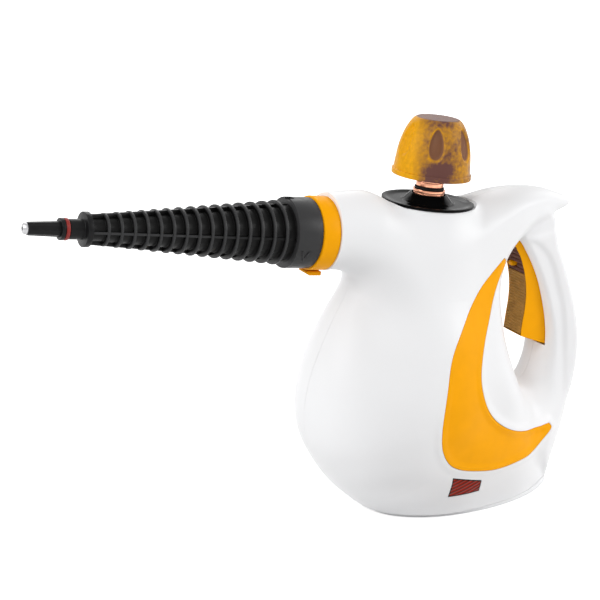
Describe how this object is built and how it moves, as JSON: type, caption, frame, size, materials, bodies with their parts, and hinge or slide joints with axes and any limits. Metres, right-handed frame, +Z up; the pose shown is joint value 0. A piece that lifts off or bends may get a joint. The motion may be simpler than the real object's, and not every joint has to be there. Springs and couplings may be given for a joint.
{
  "type": "handheld steam cleaner",
  "caption": "Handheld pressurised steam cleaner with a loop handle and trigger, a long ribbed bayonet nozzle, and a raised screw-in filler cap over a small boiler.",
  "frame": {"origin": "middle of the flat underside of the foot plate, on the surface it stands on", "axes": "+Z up, +X towards the handle (the nozzle points to -X), +Y across to the side the picture doesn't show"},
  "size_m": [0.367, 0.1192, 0.2502],
  "materials": {
    "white": "glossy",
    "yellow": "glossy",
    "black": "satin",
    "gloss_black": "polished",
    "amber": "glossy",
    "brass": "polished",
    "steel": "satin",
    "lamp": "translucent",
    "pad": "satin",
    "rubber": "matte",
    "red_rubber": "satin",
    "cream": "matte",
    "gasket": "matte",
    "green": "satin",
    "aluminium": "cast"
  },
  "bodies": {
    "machine": {"housing_left": "white", "housing_right": "white", "crescent_left": "yellow", "crescent_right": "yellow", "indicator_lens": "lamp", "foot_plate": "white", "nozzle_ring": "yellow", "spout_connector": "brass", "steam_valve": "brass", "solenoid_coil": "black", "funnel_disc": "gloss_black", "filler_neck": "brass", "boiler_lower": "aluminium", "boiler_upper": "aluminium", "boiler_gasket": "gasket", "heating_element": "steel", "thermostat": "black", "thermal_fuse": "cream", "steam_tube": "brass", "trigger_pin": "steel", "trigger_spring": "steel", "micro_switch": "black", "cord_gland": "rubber", "terminal_block": "cream", "control_board": "green", "boiler_bolt_1": "steel", "housing_screw_1": "steel", "foot_screw_1": "steel", "boiler_bolt_2": "steel", "housing_screw_2": "steel", "foot_screw_2": "steel", "boiler_bolt_3": "steel", "housing_screw_3": "steel", "foot_screw_3": "steel", "boiler_bolt_4": "steel", "housing_screw_4": "steel", "foot_screw_4": "steel"},
    "nozzle": {"long_nozzle": "black", "nozzle_tip_insert": "steel", "nozzle_o_ring": "red_rubber"},
    "latch": {"nozzle_latch": "yellow"},
    "cap_lifter": {"cap_seal": "rubber"},
    "cap_screw": {"cap_core": "black", "cap_stem": "brass", "cap_spring": "steel"},
    "cap": {"cap_knob": "amber"},
    "trigger": {"trigger": "yellow", "trigger_pad": "pad"},
    "trigger_lock": {"trigger_lock": "yellow"},
    "switch_plunger": {"switch_plunger": "red_rubber"},
    "armature": {"valve_armature": "steel"}
  },
  "joints": [
    {"name": "nozzle_turn", "type": "hinge", "parent": "machine", "child": "nozzle", "pos_m": [-0.1105, 0, 0.1887], "axis": [-0.9893, 0, 0.1461], "range_deg": [0, 45]},
    {"name": "latch_slide", "type": "slide", "parent": "machine", "child": "latch", "axis": [0.9893, 0, -0.1461], "range_m": [0, 0.003], "stiffness_N_per_m": 300, "springref_m": -0.003},
    {"name": "cap_lift", "type": "slide", "parent": "machine", "child": "cap_lifter", "axis": [0.1219, 0, 0.9925], "range_m": [0, 0.006]},
    {"name": "cap_turn", "type": "hinge", "parent": "cap_lifter", "child": "cap_screw", "pos_m": [-0.0274, 0, 0.1986], "axis": [0.1219, 0, 0.9925], "range_deg": [0, 1080]},
    {"name": "cap_press", "type": "slide", "parent": "cap_screw", "child": "cap", "axis": [-0.1219, 0, -0.9925], "range_m": [0, 0.003], "stiffness_N_per_m": 600, "springref_m": -0.003, "deforming": ["cap_spring"]},
    {"name": "trigger_pull", "type": "hinge", "parent": "machine", "child": "trigger", "pos_m": [0.044, 0, 0.1684], "axis": [0, -1, 0], "range_deg": [0, 4.5], "stiffness_Nm_per_rad": 0.8, "springref_deg": -6.88, "deforming": ["trigger_spring"]},
    {"name": "lock_slide", "type": "slide", "parent": "trigger", "child": "trigger_lock", "axis": [0, -1, 0], "range_m": [0, 0.0033]},
    {"name": "plunger_slide", "type": "slide", "parent": "machine", "child": "switch_plunger", "axis": [1, 0, 0], "range_m": [0, 0.0028]},
    {"name": "armature_slide", "type": "slide", "parent": "machine", "child": "armature", "axis": [-0.1461, 0, -0.9893], "range_m": [0, 0.0025], "stiffness_N_per_m": 200, "springref_m": -0.002}
  ],
  "couplings": [
    {"joint": "cap_turn", "follows": "cap_lift", "rad_per_m": 3141.6},
    {"joint": "plunger_slide", "follows": "trigger_pull", "m_per_rad": 0.034}
  ]
}
